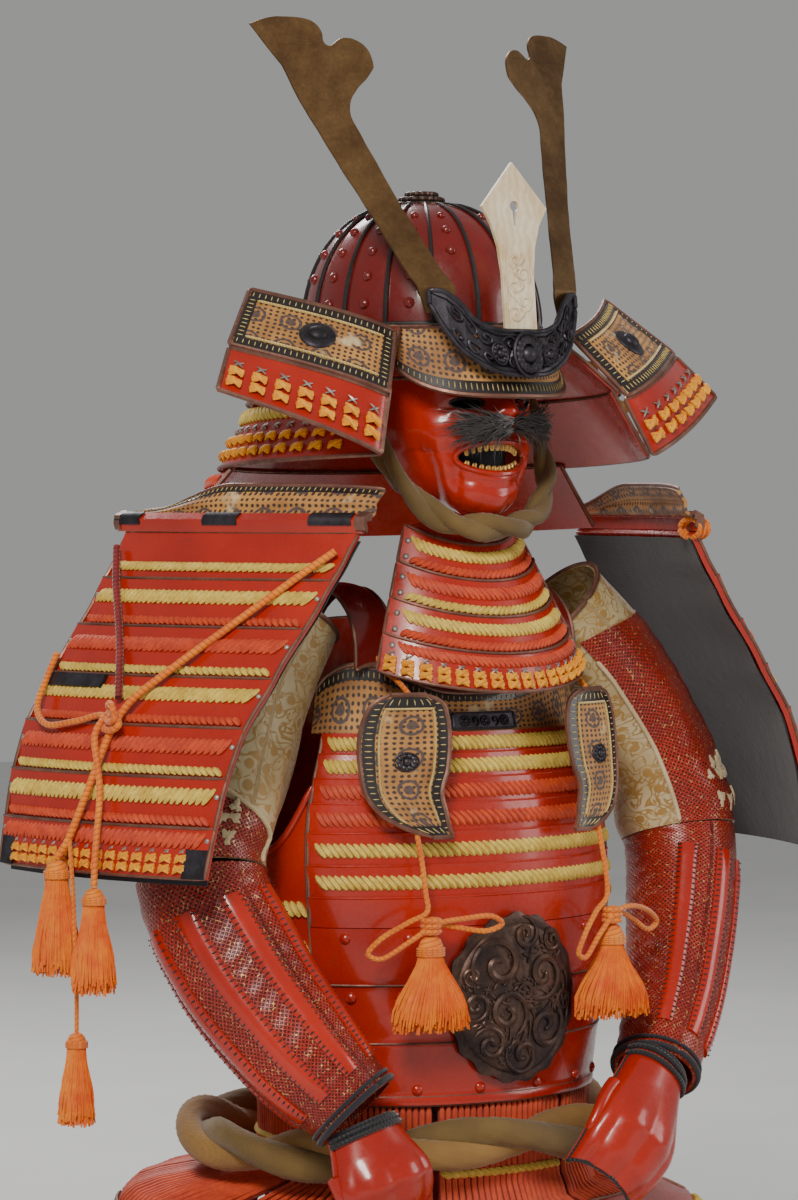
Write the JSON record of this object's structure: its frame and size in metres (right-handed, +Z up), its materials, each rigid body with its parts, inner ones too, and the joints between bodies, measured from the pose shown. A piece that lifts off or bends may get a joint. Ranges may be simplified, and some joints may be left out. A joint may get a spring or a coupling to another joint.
{
  "type": "samurai armour",
  "caption": "Full samurai armour in worn form with no wearer: horned helmet, face and throat guards, laced cuirass, shoulder guards, armoured sleeves, sash and skirt.",
  "frame": {"origin": "on the torso's axis at the height of the wearer's shoulders, where the cuirass hangs from its straps", "axes": "+Z up, -Y towards the front, +X towards the wearer's left"},
  "size_m": [0.8406, 0.6586, 1.3385],
  "materials": {
    "red_lacquer": "glossy vermilion lacquer over iron and rawhide lames, bronze-brown edge trim",
    "dark_red_lacquer": "deep red lacquer, semi-gloss",
    "printed_leather": "tan smoked leather with small dark printed repeat and braided cream border",
    "bronze": "aged bronze, satin, darkened in the hollows",
    "dark_iron": "dark patinated fittings",
    "ivory_wood": "carved wood with aged cream gold finish",
    "orange_silk": "orange silk cord and tassel",
    "dark_red_silk": "dark red silk cord",
    "sash_cloth": "olive-brown crepe cloth, twisted",
    "brocade": "gold-cream brocade with lacquered mail",
    "black_cloth": "black cloth lining",
    "hair": "black hair"
  },
  "bodies": {
    "root": {"helmet_bowl": "dark_red_lacquer", "visor": "printed_leather", "neck_lame_1": "red_lacquer", "neck_lame_2": "red_lacquer", "neck_lame_3": "red_lacquer", "turnback_upper_right": "printed_leather", "turnback_lower_right": "red_lacquer", "turnback_upper_left": "printed_leather", "turnback_lower_left": "red_lacquer", "crest_holder": "dark_iron", "horn_right": "bronze", "horn_left": "bronze", "crest_blade": "ivory_wood", "face_guard": "red_lacquer", "moustache": "hair", "chin_band": "sash_cloth", "throat_guard": "red_lacquer", "chest_plate": "printed_leather", "cuirass_front_laced": "red_lacquer", "cuirass_front_plates": "red_lacquer", "cuirass_side_right": "red_lacquer", "cuirass_side_left": "red_lacquer", "cuirass_back": "red_lacquer", "shoulder_strap_right": "dark_red_lacquer", "shoulder_strap_left": "dark_red_lacquer", "chest_wing_right": "printed_leather", "chest_wing_left": "printed_leather", "chest_bar": "dark_iron", "medallion": "bronze", "bow_cord_right": "orange_silk", "chest_tassel_right": "orange_silk", "bow_cord_left": "orange_silk", "chest_tassel_left": "orange_silk", "shoulder_lames_right": "red_lacquer", "shoulder_lining_right": "black_cloth", "shoulder_cap_right": "printed_leather", "shoulder_lames_left": "red_lacquer", "shoulder_lining_left": "black_cloth", "shoulder_cap_left": "printed_leather", "shoulder_cord_front": "orange_silk", "shoulder_cord_back": "dark_red_silk", "shoulder_cord_side": "orange_silk", "shoulder_tassel_back": "orange_silk", "shoulder_tassel_front": "orange_silk", "shoulder_tassel_low": "orange_silk", "sleeve_upper_right": "brocade", "sleeve_lower_right": "brocade", "hand_guard_right": "red_lacquer", "sleeve_upper_left": "brocade", "sleeve_lower_left": "brocade", "hand_guard_left": "red_lacquer", "sash": "sash_cloth", "skirt_panel_1": "red_lacquer", "skirt_panel_2": "red_lacquer", "skirt_panel_3": "red_lacquer", "skirt_panel_4": "red_lacquer", "skirt_panel_5": "red_lacquer", "skirt_panel_6": "red_lacquer", "skirt_panel_7": "red_lacquer"}
  },
  "joints": []
}
